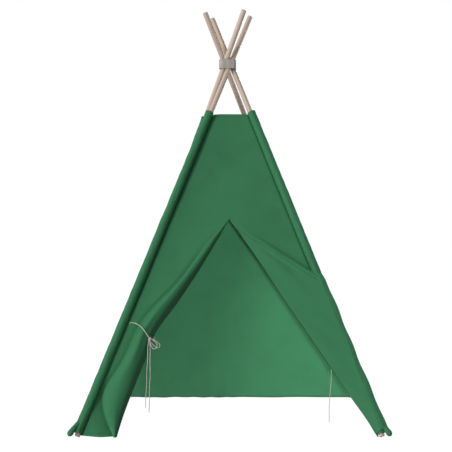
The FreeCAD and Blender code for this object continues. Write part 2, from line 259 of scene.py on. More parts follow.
def canvas(name, colour):
    """Plain-woven cotton: crossing threads, slubs along both and slow changes of shade."""
    m = new_material(name)
    cloth = m.add("ShaderNodeUVMap").outputs[0]
    split = m.add("ShaderNodeSeparateXYZ", Vector=cloth)
    warp, weft = (m.threads(split.outputs[axis], WEAVE_PITCH) for axis in "XY")
    weave = m.math("MULTIPLY", warp, weft)
    slub_up = m.grain(cloth, (900, 30, 1))
    slub_across = m.grain(cloth, (30, 900, 1))
    slubs = m.math("ADD", slub_up, slub_across)
    slow = m.noise(cloth, 7.0, 4.0)
    shade = m.blend(slubs, 0.35, slow)
    tint = m.ramp(shade, (0.42, darker(colour, 0.88)), (0.68, darker(colour, 1.1)))
    height = m.math("MULTIPLY_ADD", slubs, 0.6, weave)
    return m.finish(
        tint, height, 0.00012, 0.88,
        Specular_IOR_Level=0.12, Subsurface_Weight=0.15, Subsurface_Radius=(1, 1, 1),
        Subsurface_Scale=0.0012,
    )


def wood(name, corner, seed):
    """Sanded softwood with its grain along the pole."""
    m = new_material(name)
    place = m.add("ShaderNodeTexCoord").outputs["Object"]
    inverse = POLES[corner].matrix().inverted()
    move, turn = inverse.to_translation(), inverse.to_euler()
    turned = m.add("ShaderNodeMapping", Vector=place, Location=move, Rotation=turn).outputs[0]
    shifted = m.add("ShaderNodeMapping", Vector=turned, Location=(seed, 2 * seed, 0)).outputs[0]
    wander = m.grain(shifted, (18, 18, 2.2), 3.0)
    rings = m.grain(shifted, (150, 150, 1.6), 3.0)
    fibres = m.grain(shifted, (1400, 1400, 14), 2.0)
    tint = m.ramp(
        m.blend(rings, 0.6, wander),
        (0.34, (0.44, 0.33, 0.255)),
        (0.48, (0.63, 0.495, 0.40)),
        (0.70, (0.73, 0.595, 0.495)),
    )
    height = m.math("MULTIPLY_ADD", fibres, 0.5, rings)
    rough_wood = m.math("MULTIPLY_ADD", rings, 0.2, 0.42)
    return m.finish(tint, height, 0.00025, rough_wood, Specular_IOR_Level=0.4)


def metal(name):
    m = new_material(name)
    place = m.add("ShaderNodeTexCoord").outputs["Object"]
    brushed = m.grain(place, (30, 30, 900))
    tint = m.ramp(brushed, (0.3, (0.55, 0.56, 0.57)), (0.7, (0.72, 0.73, 0.74)))
    return m.finish(tint, brushed, 0.0001, 0.35, Metallic=1.0)


def webbing(name, colour):
    """Cotton webbing: a twill whose ribs slant across the band."""
    m = new_material(name)
    cloth = m.add("ShaderNodeUVMap").outputs[0]
    split = m.add("ShaderNodeSeparateXYZ", Vector=cloth)
    u, v = split.outputs["X"], split.outputs["Y"]
    ribs = m.threads(m.math("ADD", u, m.math("ABSOLUTE", m.math("PINGPONG", v, 0.005))), 0.0026)
    fine = m.threads(v, 0.0012)
    slow = m.noise(cloth, 60.0, 3.0)
    shade = m.blend(ribs, 0.35, slow)
    tint = m.ramp(shade, (0.25, darker(colour, 0.72)), (0.75, darker(colour, 1.12)))
    height = m.math("MULTIPLY_ADD", fine, 0.4, ribs)
    return m.finish(tint, height, 0.0004, 0.85, Specular_IOR_Level=0.2, Sheen_Weight=0.1)


def yarn(name, colour):
    """Twisted cotton: soft fibres that follow the cord's strands."""
    m = new_material(name)
    cloth = m.add("ShaderNodeUVMap").outputs[0]
    fibres = m.grain(cloth, (900, 220, 1), 3.0)
    slow = m.noise(cloth, 40.0)
    shade = m.blend(fibres, 0.6, slow)
    tint = m.ramp(shade, (0.3, darker(colour, 0.75)), (0.7, colour))
    return m.finish(tint, fibres, 0.00015, 0.9, Specular_IOR_Level=0.2, Sheen_Weight=0.15)


GREEN = (0.046, 0.205, 0.094)
CANVAS = canvas("canvas", GREEN)
# a copy of the canvas a shade darker for the door leaves, which face the key lamp more: painted shade
SHADED_LEAF_CANVAS = canvas("shaded_leaf_canvas", darker(GREEN, 0.99))
THREAD = yarn("green_thread", darker(GREEN, 0.8))
# a near-black green yarn for the tube along the door's fold: painted shade for the fold's shadowed edge
PAINTED_SHADE_YARN = yarn("painted_shade_edge", darker(GREEN, 0.25))
PALE_THREAD = yarn("pale_thread", (0.5, 0.5, 0.44))
CORD_YARN = yarn("cord_yarn", (0.74, 0.74, 0.67))
WEBBING = webbing("webbing", (0.52, 0.50, 0.445))
METAL = metal("brushed_metal")
WOODS = {corner: wood(f"wood_{corner}", corner, 3.7 * n) for n, corner in enumerate(CORNERS)}

# ---- kinds of piece ----

CLOTH = 0.0012  # thickness of the canvas


def in_scene(name, data):
    """A new object with this data."""
    obj = bpy.data.objects.new(name, data)
    bpy.context.scene.collection.objects.link(obj)
    return obj


def worked_out(holder):
    """The mesh that an object's modifiers or curve work out to. The object itself is removed."""
    found = holder.evaluated_get(bpy.context.evaluated_depsgraph_get())
    mesh = bpy.data.meshes.new_from_object(found)
    bpy.data.objects.remove(holder)
    return mesh


def add_object(name, mesh, material, crease_degrees=45):
    obj = in_scene(name, mesh)
    mesh.materials.append(material)
    mesh.polygons.foreach_set("use_smooth", [True] * len(mesh.polygons))
    mesh.set_sharp_from_angle(angle=math.radians(crease_degrees))
    return obj


def grid_faces(rows, cols, start, wrap):
    """Quads over a grid of points numbered from start; wrap joins its last column to its first."""
    faces = []
    for r in range(rows - 1):
        low, high = start + r * cols, start + (r + 1) * cols
        for c in range(cols if wrap else cols - 1):
            d = (c + 1) % cols
            faces.append([low + c, low + d, high + d, high + c])
    return faces


def skin(name, grids, material, thickness=CLOTH, wrap=False):
    """A sheet of cloth through one or more grids of points, each with its (u, v) in metres of cloth."""
    verts, faces, uvs = [], [], []
    for points, uv in grids:
        rows, cols = points.shape[:2]
        start = len(verts)
        verts += points.reshape(-1, 3).tolist()
        for face in grid_faces(rows, cols, start, wrap):
            faces.append(face)
            corners = np.array([uv.reshape(-1, 2)[i - start] for i in face])
            # where a wrapped grid closes, the first column's u goes on from the last one's
            if wrap and np.ptp(corners[:, 0]) > uv[..., 0].max() / 2:
                corners[corners[:, 0] < uv[..., 0].max() / 2, 0] += uv[0, -1, 0] + uv[0, 1, 0]
            uvs += corners.tolist()
    mesh = bpy.data.meshes.new(name)
    mesh.from_pydata(verts, [], faces)
    layer = mesh.uv_layers.new(name="cloth")
    layer.data.foreach_set("uv", np.array(uvs).ravel())
    bm = bmesh.new()
    bm.from_mesh(mesh)
    bmesh.ops.remove_doubles(bm, verts=bm.verts, dist=1e-6)
    bmesh.ops.dissolve_degenerate(bm, dist=1e-7, edges=bm.edges)
    bm.to_mesh(mesh)
    bm.free()
    return add_object(name, thickened(mesh, thickness), material)


def thickened(mesh, thickness):
    """The mesh with a Solidify modifier applied."""
    holder = in_scene("holder", mesh)
    solid = holder.modifiers.new("Solidify", "SOLIDIFY")
    solid.thickness = thickness
    solid.offset = 0
    result = worked_out(holder)
    result.name = mesh.name
    return result


def travelled(path):
    """How far along a path each of its points is."""
    return np.concatenate([[0], np.cumsum(np.linalg.norm(np.diff(path, axis=0), axis=1))])


def cloth_across(points):
    """How far along its row each point of a grid is."""
    return np.cumsum(np.linalg.norm(np.diff(points, axis=1, prepend=points[:, :1]), axis=2), axis=1)


def follow(path):
    """Tangents and two cross directions along a path, turning as little as they can."""
    tangents = unit(np.gradient(path, axis=0))
    side = unit(np.cross(tangents[0], [0.3, 0.2, 1.0] if abs(tangents[0][2]) < 0.9 else [1.0, 0.2, 0]))
    sides = []
    for tangent in tangents:
        side = unit(side - tangent * side.dot(tangent))
        sides.append(side)
    sides = np.array(sides)
    return tangents, sides, np.cross(tangents, sides)


STRAND_GROOVE = 0.20  # depth of the grooves between strands, in radii
CAP_LENGTH = 0.35  # length of a tube's narrowed ends, in radii
CAP_WIDTH = 0.5  # and their width, as a share of the tube's


def tube(name, path, radii, material, around=16, strands=0, lay=0.012):
    """A closed tube along a path; strands of it wind round each other once every lay metres."""
    tangents, side, up = follow(path)
    reach = travelled(path)
    turn = np.linspace(0, math.tau, around, endpoint=False)
    radii = np.broadcast_to(radii, len(path))[:, None] * np.ones(around)
    if strands:
        phase = strands * (turn[None] - math.tau * reach[:, None] / lay) / 2
        radii *= 1 - STRAND_GROOVE + STRAND_GROOVE * np.abs(np.cos(phase)) ** 0.7
    spokes = np.cos(turn)[None, :, None] * side[:, None] + np.sin(turn)[None, :, None] * up[:, None]
    rings = path[:, None] + radii[..., None] * spokes
    cap = radii.mean() * CAP_LENGTH
    first = path[0] + (rings[0] - path[0]) * CAP_WIDTH - tangents[0] * cap
    last = path[-1] + (rings[-1] - path[-1]) * CAP_WIDTH + tangents[-1] * cap
    rings = np.concatenate([first[None], rings, last[None]])
    reach = np.concatenate([[reach[0]], reach, [reach[-1]]])
    count = len(rings)
    faces = grid_faces(count, around, 0, True)
    faces += [list(range(around))[::-1], list(range((count - 1) * around, count * around))]
    mesh = bpy.data.meshes.new(name)
    mesh.from_pydata(rings.reshape(-1, 3).tolist(), [], faces)
    girth = math.tau * float(radii.mean())
    layer = mesh.uv_layers.new(name="cloth")
    for loop in mesh.loops:
        ring, spoke = divmod(loop.vertex_index, around)
        layer.data[loop.index].uv = (spoke / around * girth, reach[ring])
    return add_object(name, mesh, material, 80)


def resample(path, spacing):
    """The same path with points evenly spaced along it."""
    path = np.asarray(path, float)
    reach = travelled(path)
    places = np.linspace(0, reach[-1], max(2, round(reach[-1] / spacing) + 1))
    return together(*(np.interp(places, reach, path[:, k]) for k in range(3)))


STITCH_PITCH = 0.006
STITCH_LENGTH = 0.0042
STITCH_R = 0.00055
STITCH_LIFT = 0.0002  # how far a stitch's middle stands off the cloth
# a stitch's rings: place along it in lengths, and width and height in radii
STITCH_RINGS = ((-0.5, 0.15, -0.9), (-0.36, 0.8, 0.1), (0, 1, 0.5), (0.36, 0.8, 0.1), (0.5, 0.15, -0.9))


def stitches(name, lines, material):
    """Rows of small thread stitches along lines, each with the direction off the cloth at its points."""
    around = 6
    turn = np.linspace(0, math.tau, around, endpoint=False)
    verts, faces = [], []
    for line, off in lines:
        fine = resample(line, STITCH_PITCH)
        reach = travelled(line)
        places = np.linspace(0, reach[-1], len(fine))
        ups = unit(together(*(np.interp(places, reach, off[:, k]) for k in range(3))))
        ways = unit(np.gradient(fine, axis=0))
        for at, way, up in zip(fine, ways, ups):
            side = unit(np.cross(way, up))
            start = len(verts)
            for place, size, height in STITCH_RINGS:
                centre = at + way * place * STITCH_LENGTH + up * (STITCH_LIFT + height * STITCH_R)
                for angle in turn:
                    across = math.cos(angle) * side + math.sin(angle) * up
                    verts.append(centre + across * size * STITCH_R)
            faces += grid_faces(len(STITCH_RINGS), around, start, True)
            faces.append([start + i for i in range(around)][::-1])
            last = start + (len(STITCH_RINGS) - 1) * around
            faces.append([last + i for i in range(around)])
    mesh = bpy.data.meshes.new(name)
    mesh.from_pydata([tuple(v) for v in verts], [], faces)
    mesh.uv_layers.new(name="cloth")
    return add_object(name, mesh, material, 80)


def settle(piece, body, slot, *nodes):
    """Puts a piece on its body and hides the CAD nodes that it stands for; on the end cloth it gets a mesh
    of its own. The slot is not used.
    """
    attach(piece, body)
    if nodes:
        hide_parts(*nodes)
    if body == "end_cloth":
        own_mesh(piece)
    return piece


# ---- the cover's sides ----

SEAM_IN = 0.0116  # from a pole's axis to its sleeve's seam
CLOTH_IN = 1.07 * SEAM_IN  # and to where a side's cloth ends, in the wall of the sleeve
HEM_WIDTH = 0.012  # of the turned and stitched hem
HEM_RISE = 0.0007  # how much thicker the hem stands
HEM_FLARE = 0.009  # how far the lower hem turns out
HEM_DROP = {"left": 0.004, "right": 0.004, "rear": 0.006}  # how much lower than HEM it hangs
ROW_SPACING = 0.012
SLOPE = 1.07  # metres of cloth up a side for each metre of height


def levels(bottom, top):
    """Heights of a side's rows, close together where its hems are."""
    edge = np.array([0, 0.3, 0.9, 1.0, 1.1, 1.3, 1.8]) * HEM_WIDTH
    middle = np.linspace(bottom + edge[-1], top - edge[-1], round((top - bottom) / ROW_SPACING))
    return np.concatenate([bottom + edge[:-1], middle, (top - edge[:-1])[::-1]])


def hem_relief(height):
    """How far the folded hems stand out, with a shallow groove where they are stitched."""
    from_edge = np.minimum(np.abs(height - HEM), np.abs(COVER_TOP - height))
    folded = fade(HEM_WIDTH, 1.3 * HEM_WIDTH, from_edge)
    return HEM_RISE * folded - 0.0005 * bump(from_edge, 1.05 * HEM_WIDTH, 0.12 * HEM_WIDTH)


def cloth_swell(side, across, height):
    """How a side's cloth stands off its plane: a little sag, soft upright folds, and small dents."""
    left, right = pole_across(side, height)
    share = np.clip((across - left) / (right - left), 0, 1)
    middle = 4 * share * (1 - share)
    tall = np.sin(math.pi * np.clip(height / COVER_TOP, 0, 1))
    seed = 11.0 * list(SIDES).index(side)
    folds = rough(across, height * 0.22, 7.0, seed) * 0.0032
    dents = rough(across, height, 5.0, seed + 4) * 0.0022
    lower = fade(0.0, 0.9, height)
    if side == "rear":
        phase = math.tau * across / (0.085 + 0.04 * height) + 2.5 * rough(across, height * 0.3, 3.0, 3.0)
        folds += 0.0022 * np.sin(phase) * step(-0.12, 0.10, across)
    from_seam = np.minimum(across - left, right - across) - SEAM_IN
    groove = -0.006 * bump(from_seam, 0.002, 0.005)
    return middle * (-0.006 * tall + folds * (0.35 + 0.65 * lower) + dents) + groove


def side_edges(side, height):
    """Where a side's cloth starts and ends along it, inside the walls of its two sleeves."""
    left, right = pole_across(side, height)
    return left + CLOTH_IN, right - CLOTH_IN


def denser_ends(count, start=True, end=True):
    """Shares from 0 to 1, closer together where the cloth meets its seams."""
    fine = np.array([0, 0.004, 0.008, 0.012, 0.017, 0.023, 0.030, 0.040])
    first, last = (fine if start else [0], (1 - fine)[::-1] if end else [1])
    middle = np.linspace(first[-1], last[0], count)
    return np.concatenate([first[:-1], middle, last[1:]])


def sewn_side(side, body, grids, lines):
    """A side's cloth through its grids, with the stitching of its hems, on its body."""
    piece = skin(f"{side}_side_cloth", grids, CANVAS)
    seams = stitches(f"{side}_side_stitching", lines, THREAD)
    settle(piece, body, "canvas", f"{side}_panel")
    settle(seams, body, "canvas")


def hung(side, across, heights, out, drop):
    """A side's grid of points and its (u, v), lower by drop."""
    points = side_point(side, across, heights - drop, out)
    return points, together(across, heights * SLOPE)


def plain_side(side, body):
    """A whole side of the cover, from sleeve to sleeve, with its hems and their stitching."""
    heights = levels(HEM, COVER_TOP)[:, None]
    left, right = side_edges(side, heights)
    across = left + (right - left) * denser_ends(110)[None]
    out = cloth_swell(side, across, heights) + hem_relief(heights)
    out += HEM_FLARE * fade(0, 0.014, heights - HEM)
    grid = hung(side, across, heights, out, HEM_DROP[side] * fade(0, 0.06, heights - HEM))
    sewn_side(side, body, [grid], hem_lines(side))


def hem_lines(side, lower_end=1):
    """Stitching lines along a side's hems, the lower one up to this share of its width."""
    lines = []
    for hem, inwards, end in ((HEM, 0.85, lower_end), (COVER_TOP, -0.85, 1)):
        height = hem + inwards * HEM_WIDTH
        low, high = side_edges(side, height)
        across = np.linspace(low + 0.01, low + end * (high - low) - 0.01, 80)
        out = cloth_swell(side, across, height) + HEM_RISE + CLOTH / 2
        line = side_point(side, across, height, out)
        lines.append((line, side_point(side, across, height, out + 1) - line))
    return lines


# ---- the door ----

APEX = 0.863
UNDER_ROLL = 0.012  # how far the front goes on beneath the left roll
RISE_OUT = HALF / math.hypot(HALF, CROSSING)  # how much higher a point is for being off the front
LEFT_DROP = 0.0035  # how much lower the cloth hangs on the door's left
CORNER_LIFT = 0.0055  # and how much it is lifted again beside the left sleeve
TIE_HEIGHT = 0.388
TIE_SQUEEZE = 0.10  # share of the roll's width that the tie takes up
ROLL_COLUMNS = 110

# the left leaf's roll: at each height, where it starts and ends across, and how far it stands out
# and in
ROLL_FOOT = smooth((0.005, -0.455), (0.06, -0.482), (0.14, -0.503), (0.30, -0.424), (0.45, -0.351),
                   (0.61, -0.204), (0.80, -0.0594), (APEX, 0.0))
ROLL_EDGE = smooth((0.005, -0.4435), (0.10, -0.417), (0.22, -0.372), (0.31, -0.337), (0.388, -0.309),
                   (0.54, -0.2045), (0.69, -0.1045), (0.77, -0.0545), (APEX, 0.0))
ROLL_OUT = smooth((0.005, 0.012), (0.08, 0.020), (0.2, 0.026), (0.31, 0.028), (0.385, 0.024),
                  (0.45, 0.025), (0.60, 0.019), (0.76, 0.010), (APEX, 0.001))
ROLL_IN = smooth((0.005, 0.020), (0.08, 0.034), (0.2, 0.042), (0.32, 0.036), (0.388, 0.028),
                 (0.45, 0.036), (0.58, 0.036), (0.72, 0.020), (0.80, 0.008), (APEX, 0.001))

# the line that the right leaf is folded back along
FOLD_LINE = smooth((0.005, 0.580), (0.053, 0.552), (0.156, 0.4795), (0.264, 0.406), (0.394, 0.3175),
                   (0.523, 0.2295), (0.694, 0.1175), (APEX, 0.0))

# the roll's cloth, as shares of its width across and of its depth outwards: above the tie it leaves
# the front in a soft crease, and below it lies over the front with its free edge
ROLL_ABOVE = (
    (-0.10, -0.05), (-0.04, -0.03), (0.03, 0.00), (0.12, 0.22), (0.22, 0.68), (0.33, 0.98), (0.46, 1.03),
    (0.60, 0.90), (0.72, 0.64), (0.82, 0.30), (0.90, -0.05), (0.97, -0.40), (1.01, -0.72), (0.98, -1.00),
    (0.86, -1.08), (0.68, -0.85), (0.55, -0.50), (0.47, -0.05), (0.50, 0.30), (0.60, 0.20),
)
ROLL_BELOW = (
    (0.06, -0.03), (0.00, -0.01), (-0.015, 0.12), (0.03, 0.26), (0.14, 0.58), (0.27, 0.88), (0.41, 1.02),
    (0.56, 0.97), (0.70, 0.78), (0.82, 0.45), (0.91, 0.08), (0.97, -0.28), (1.01, -0.62), (1.00, -0.92),
    (0.90, -1.08), (0.74, -1.00), (0.60, -0.70), (0.50, -0.30), (0.48, 0.10), (0.56, 0.30),
)


def blended(points, count):
    """A uniform cubic B-spline with these control points."""
    points = np.array(points, float)
    places = np.linspace(0, len(points) - 3 - 1e-9, count)
    n, t = places.astype(int), (places % 1)[:, None]
    return (
        (1 - t) ** 3 * points[n] + (3 * t**3 - 6 * t**2 + 4) * points[n + 1]
        + (-3 * t**3 + 3 * t**2 + 3 * t + 1) * points[n + 2] + t**3 * points[n + 3]
    ) / 6


def front_side():
    """The front of the cover, slit from the apex of the door down."""
    heights = np.concatenate([levels(HEM, APEX)[:-6], [APEX], levels(APEX, COVER_TOP)[6:]])[:, None]
    left, right = side_edges("front", heights)
    below = heights < APEX
    left_inner = np.where(below, ROLL_FOOT(heights) + UNDER_ROLL * step(0, 0.08, APEX - heights), 0)
    right_inner = np.where(below, FOLD_LINE(heights), 0)
    grids = []
    for start, end, at_left in ((left, left_inner, True), (right_inner, right, False)):
        share = denser_ends(60, at_left, not at_left)[None]
        across = start + (end - start) * share
        out = front_swell(across, heights)
        drop = LEFT_DROP - CORNER_LIFT * fade(-0.585, -0.50, across) + RISE_OUT * out
        drop *= fade(0, 0.06, heights - HEM) * at_left
        grids.append(hung("front", across, heights, out, drop))
    low, high = side_edges("front", HEM)
    left_share = float((ROLL_FOOT(HEM) - low) / (high - low))
    sewn_side("front", "end_cloth", grids, hem_lines("front", left_share))


def front_swell(across, height):
    """The front's own swell, with its edges beside the door held to its plane."""
    left, _ = pole_across("front", height)
    inner_left, inner_right = ROLL_FOOT(height), FOLD_LINE(height)
    beside = np.where(across < 0, inner_left - across, across - inner_right)
    free = np.where(height < APEX, step(0, 0.12, beside), 1)
    free = np.maximum(free, step(APEX, APEX + 0.1, height))
    swell = cloth_swell("front", across, height) * free
    tucked = -0.003 * bump(across - left, 0.022, 0.016) * step(0.75, 1.1, height)
    # the cloth is drawn in beside the roll, widely near the hem and in a narrow crease above
    valley = -0.013 * fade(0.0, 0.062, inner_left - across) * fade(0.12, 0.24, height)
    valley -= 0.005 * bump(inner_left - across, 0.0, 0.013) * fade(0.66, 0.82, height)
    hemmed = 1 - step(0.1, 0.2, height) * (height < APEX + 0.2)
    return swell + tucked + valley + hem_relief(height) * hemmed


def roll_section(heights):
    """The roll's shares across and outwards along its cloth, for each height."""
    above, below = (blended(points, ROLL_COLUMNS) for points in (ROLL_ABOVE, ROLL_BELOW))
    for section in (above, below):
        section[:, 0] /= section[:, 0].max()
        section[:, 1] /= np.where(section[:, 1] > 0, section[:, 1].max(), -section[:, 1].min())
    free = fade(0.26, 0.36, heights)
    share = above[:, 0] + (below[:, 0] - above[:, 0]) * free
    rise = above[:, 1] + (below[:, 1] - above[:, 1]) * free
    return share, rise


def left_leaf():
    """The left leaf: a pleated roll from the front's edge, squeezed by its tie."""
    heights = np.concatenate([levels(HEM, APEX)[:-1], [APEX - 0.001]])[:, None]
    share, rise = roll_section(heights)
    foot = ROLL_FOOT(heights)
    width = ROLL_EDGE(heights) - foot
    squeeze = TIE_SQUEEZE * bump(heights, TIE_HEIGHT, 0.03)
    across = foot + width * (1 - squeeze) * share + squeeze * width * step(0.2, 1.0, share)
    turn = np.linspace(0, 1, ROLL_COLUMNS)[None]
    pleats = np.sin(math.tau * (turn * 6 + 1.2 * heights)) * step(0.12, 0.3, turn)
    pleats *= 0.0010 * bump(heights, TIE_HEIGHT, 0.09) + 0.0003
    wobble = rough(turn * 0.5, heights, 6.0, 91) * 0.12 * step(0.1, 0.4, turn) * ROLL_OUT(heights)
    lip = front_swell(foot, heights) * fade(0.0, 0.07, turn)
    depth = np.where(rise > 0, ROLL_OUT(heights), ROLL_IN(heights))
    out = lip + depth * rise + pleats + wobble
    drop = (LEFT_DROP + RISE_OUT * out) * fade(0, 0.10, heights - HEM)
    points = side_point("front", across, heights - drop, out)
    uv = together(foot + cloth_across(points), heights * SLOPE)
    piece = skin("left_door_leaf_cloth", [(points, uv)], SHADED_LEAF_CANVAS)
    settle(piece, "end_cloth", "canvas_leaf", "left_door_leaf")


LAPEL_TOP = 0.620  # height at which the right leaf's top edge reaches the sleeve
LAPEL_OFF = 0.0055  # how far the leaf lies off the front
LAPEL_SINK = LAPEL_OFF + CLOTH  # how far its top edge sinks, to meet the front
LAPEL_COLUMNS = 60
FOLD_COLUMNS = 10

# how loosely the right leaf wraps round the sleeve: its radius at each height
WRAP_R = smooth((0.0, 0.0280), (0.1, 0.0262), (0.2, 0.0250), (0.35, 0.0230), (0.55, 0.0228),
                (0.60, 0.0212), (LAPEL_TOP, 0.0182))


def leaf_wrap(v):
    """The right leaf's end: a wavy half turn round the right sleeve. v is 0 at its top and 1 at its hem."""
    pole = POLES["front_right"]
    heights = LAPEL_TOP + (0.018 - LAPEL_TOP) * v
    turn = np.radians(np.linspace(-52, 100, 34))[None]
    waves = 0.0018 * np.cos(math.tau * (heights - 0.346) / 0.150) * fade(0.58, 0.63, heights)
    radius = WRAP_R(heights) + waves * step(-0.9, 0.2, turn)
    radius += 0.0010 * rough(turn, heights * 3, 3.0, 17)
    droop = -0.020 * step(-0.6, 1.7, turn) * (1 - v)
    along = heights / pole.z[2] + droop
    return pole.point(SLEEVE_ASIDE + radius * np.cos(turn), radius * np.sin(turn), along)


def leaf_flat(v, begin, end):
    """The right leaf's flat part, from its fold to its wrap, with the creases under its top edge."""
    share = np.linspace(0, 1, LAPEL_COLUMNS + 1)[None, :-1]
    straight = begin + (end - begin) * share[..., None]
    reach = np.linalg.norm(end - begin, axis=-1) * share
    tucked = LAPEL_SINK * fade(0.0, 0.035, v * (0.25 + share))
    dimples = rough(reach * 1.1 + v * 0.5, v * 2.0, 3.0, 41) * 0.0025 * np.sin(math.pi * share)
    dents = -0.0036 * bump(v, 0.090, 0.022) + 0.0020 * bump(v, 0.135 + 0.05 * share, 0.030)
    dents = dents * step(0.10, 0.4, share) * fade(0.45, 0.80, share)
    crease = 0.0008 * bump(v, 0.024, 0.012) - 0.0020 * bump(v, 0.045, 0.010)
    dents = dents + crease * step(0.03, 0.15, share)
    swell = dimples + dents - tucked * fade(0.92, 1.0, share)
    face = side_point("front", 0, 0, 1) - side_point("front", 0, 0, 0)
    return straight + face * swell[..., None]


def leaf_fold(v, across, heights):
    """The right leaf's fold along the door's edge: a soft half turn back behind the leaf."""
    back = np.linspace(1, 0, FOLD_COLUMNS + 1)[None, :-1]
    roll = 0.5 * LAPEL_OFF + CLOTH
    angle = math.pi * (0.5 + 0.85 * back)
    out = LAPEL_OFF - roll + roll * np.sin(angle) - LAPEL_SINK * fade(0, 0.03, v * 0.25)
    return side_point("front", across + roll * np.cos(angle), heights, out)


def right_leaf():
    """The right leaf: folded back at the door's edge, over the front, and round the right sleeve."""
    v = np.concatenate([np.linspace(0, 0.06, 16)[:-1], np.linspace(0.06, 1, 120)])[:, None]
    heights = APEX - 0.002 + (0.016 - APEX) * v
    across = FOLD_LINE(heights)
    wrapped = leaf_wrap(v)
    flat = leaf_flat(v, side_point("front", across, heights, LAPEL_OFF), wrapped[:, :1])
    points = np.concatenate([leaf_fold(v, across, heights), flat, wrapped], axis=1)
    uv = together(cloth_across(points), heights * 1.25)
    piece = skin("right_door_leaf_cloth", [(points, uv)], SHADED_LEAF_CANVAS)
    settle(piece, "end_cloth", "canvas_leaf", "right_door_leaf")
    painted_shade_line()


def painted_shade_line():
    """A narrow dark tube along the folded edge of the door, finer towards both its ends: painted shade for
    the shadowed turn of the fold.
    """
    heights = np.linspace(APEX - 0.045, 0.024, 260)
    path = side_point("front", FOLD_LINE(heights) - 0.0028, heights, 0.0030)
    radii = 0.0009 + 0.0012 * step(0.82, 0.70, heights) * step(0.02, 0.30, heights)
    piece = tube("right_door_painted_shade_line", path, radii, PAINTED_SHADE_YARN, around=12)
    return settle(piece, "end_cloth", "canvas_leaf")


# ---- sleeves and poles ----

SLEEVE_R = 0.0163
SLEEVE_ASIDE = 0.0062  # how far the sleeve hangs away from the tent's middle
SLEEVE_START = 0.012  # where it starts along the pole
SLEEVE_ENDS = {"front_left": 1.496, "front_right": 1.503, "rear_left": 1.488, "rear_right": 1.488}
SEAM_TURN = 2.3  # the turn round the sleeve of its two rows of stitching, in radians


def sleeve_radius(turn):
    """The sleeve is fuller towards the tent's middle, where the two sides are sewn to it."""
    return SLEEVE_R + 0.0016 * step(1.5, 2.5, np.abs(turn))


def sleeve_cloth(corner):
    """A sleeve's tube of cloth, puckered along its seams and narrower up the rear poles."""
    pole = POLES[corner]
    end = SLEEVE_ENDS[corner]
    seed = 5.0 * list(CORNERS).index(corner)
    ends = np.array([0, 0.002, 0.010, 0.0115, 0.0125, 0.014])
    along = np.concatenate([
        SLEEVE_START + ends,
        np.linspace(SLEEVE_START + 0.02, end - 0.02, 230),
        (end - ends)[::-1],
    ])[:, None]
    turn = np.linspace(-math.pi, math.pi, 48, endpoint=False)[None]
    from_end = np.minimum(along - SLEEVE_START, end - along)
    seams = bump(np.abs(turn), SEAM_TURN, 0.12)
    puckers = 0.00030 * np.sin(math.tau * along / 0.019 + 3 * rough(along * 2, 0 * along, 5.0, seed))
    outer = step(-2.4, -1.8, turn) * step(-2.4, -1.8, -turn)
    radius = sleeve_radius(turn) + 0.0009 * rough(np.sin(turn) * 0.5, along * 2.2, 6.0, seed) * outer
    radius += 0.0007 * rough(np.cos(turn) * 0.8, along * 6, 6.0, seed + 2) * outer
    radius += puckers * (0.3 * outer + seams) - 0.0005 * seams
    radius += 0.0005 * fade(0.0105, 0.013, from_end)
    if CORNERS[corner][1] > 0:
        radius -= 0.0032 * step(end - 0.45, end - 0.05, along) * outer
    radius += 0.0022 * fade(0.0, 0.09, along - SLEEVE_START) * step(-0.4, 0.9, np.cos(turn))
    points = pole.point(SLEEVE_ASIDE + radius * np.cos(turn), radius * np.sin(turn), along)
    uv = together((turn + math.pi) * SLEEVE_R, along)
    return skin(f"{corner}_sleeve_cloth", [(points, uv)], CANVAS, wrap=True, thickness=0.001)


def sleeve_seams(corner):
    """The two rows of stitching where the sides are sewn to a sleeve."""
    pole = POLES[corner]
    lines = []
    run = np.linspace(SLEEVE_START + 0.012, SLEEVE_ENDS[corner] - 0.012, 300)
    for angle in (-SEAM_TURN, SEAM_TURN):
        around = sleeve_radius(angle) - 0.0002
        line = pole.point(SLEEVE_ASIDE + around * math.cos(angle), around * math.sin(angle), run)
        off = pole.x * math.cos(angle) + pole.y * math.sin(angle) + 0 * line
        lines.append((line, off))
    return stitches(f"{corner}_sleeve_stitching", lines, THREAD)


def sleeve(corner, body):
    """A corner's sleeve, its stitching and the tab at its foot."""
    piece = sleeve_cloth(corner)
    seams = sleeve_seams(corner)
    tab = corner_tab(corner)
    settle(piece, body, "canvas", f"{corner}_sleeve")
    settle(seams, body, "canvas")
    settle(tab, body, "canvas", f"{corner}_corner_tab")


# the middle of a corner tab: how far out from the pole's axis, and how far along it
TAB_ROUTE = (
    (0.002, 0.16), (0.006, 0.115), (0.014, 0.075), (0.024, 0.040), (0.034, 0.010), (0.0405, -0.014),
    (0.047, -0.038),
)


def corner_tab(corner):
    """The sleeve's spare end: a rounded fold of cloth turned away from the pole's foot."""
    pole = POLES[corner]
    route = blended(TAB_ROUTE, 40)
    ending = np.linspace(0, 1, len(route))
    path = pole.point(route[:, 0], 0 * ending, route[:, 1])
    radii = 0.0055 + 0.0067 * step(0.15, 0.95, ending) + 0.0003 * np.sin(ending * 40)
    end_round = np.clip((ending - 0.86) / 0.14, 0, 1)
    radii *= np.sqrt(np.clip(1 - end_round**2.2, 0.03, 1))
    piece = tube(f"{corner}_corner_tab_cloth", path, radii, CANVAS, around=28)
    return piece


def poles():
    """The poles and ferrules keep the CAD's shapes and only get their materials."""
    for corner, look in WOODS.items():
        for part, material in (("pole_lower", look), ("pole_upper", look), ("ferrule", METAL)):
            materials = frame["nodes"][f"{corner}_{part}"].data.materials
            materials.clear()
            materials.append(material)


# ---- band ----

BAND_WIDTH, BAND_DEPTH, BAND_HEIGHT = 0.0704, 0.0756, 0.0385
BAND_CORNER = 0.014
BAND_THICK = 0.0016
BAND_TILT = 0.0012  # how much higher its left side sits than its middle
BAND_LOW = 0.0035  # how far it has slipped down
BAND_STEP = 0.003  # between the points round it


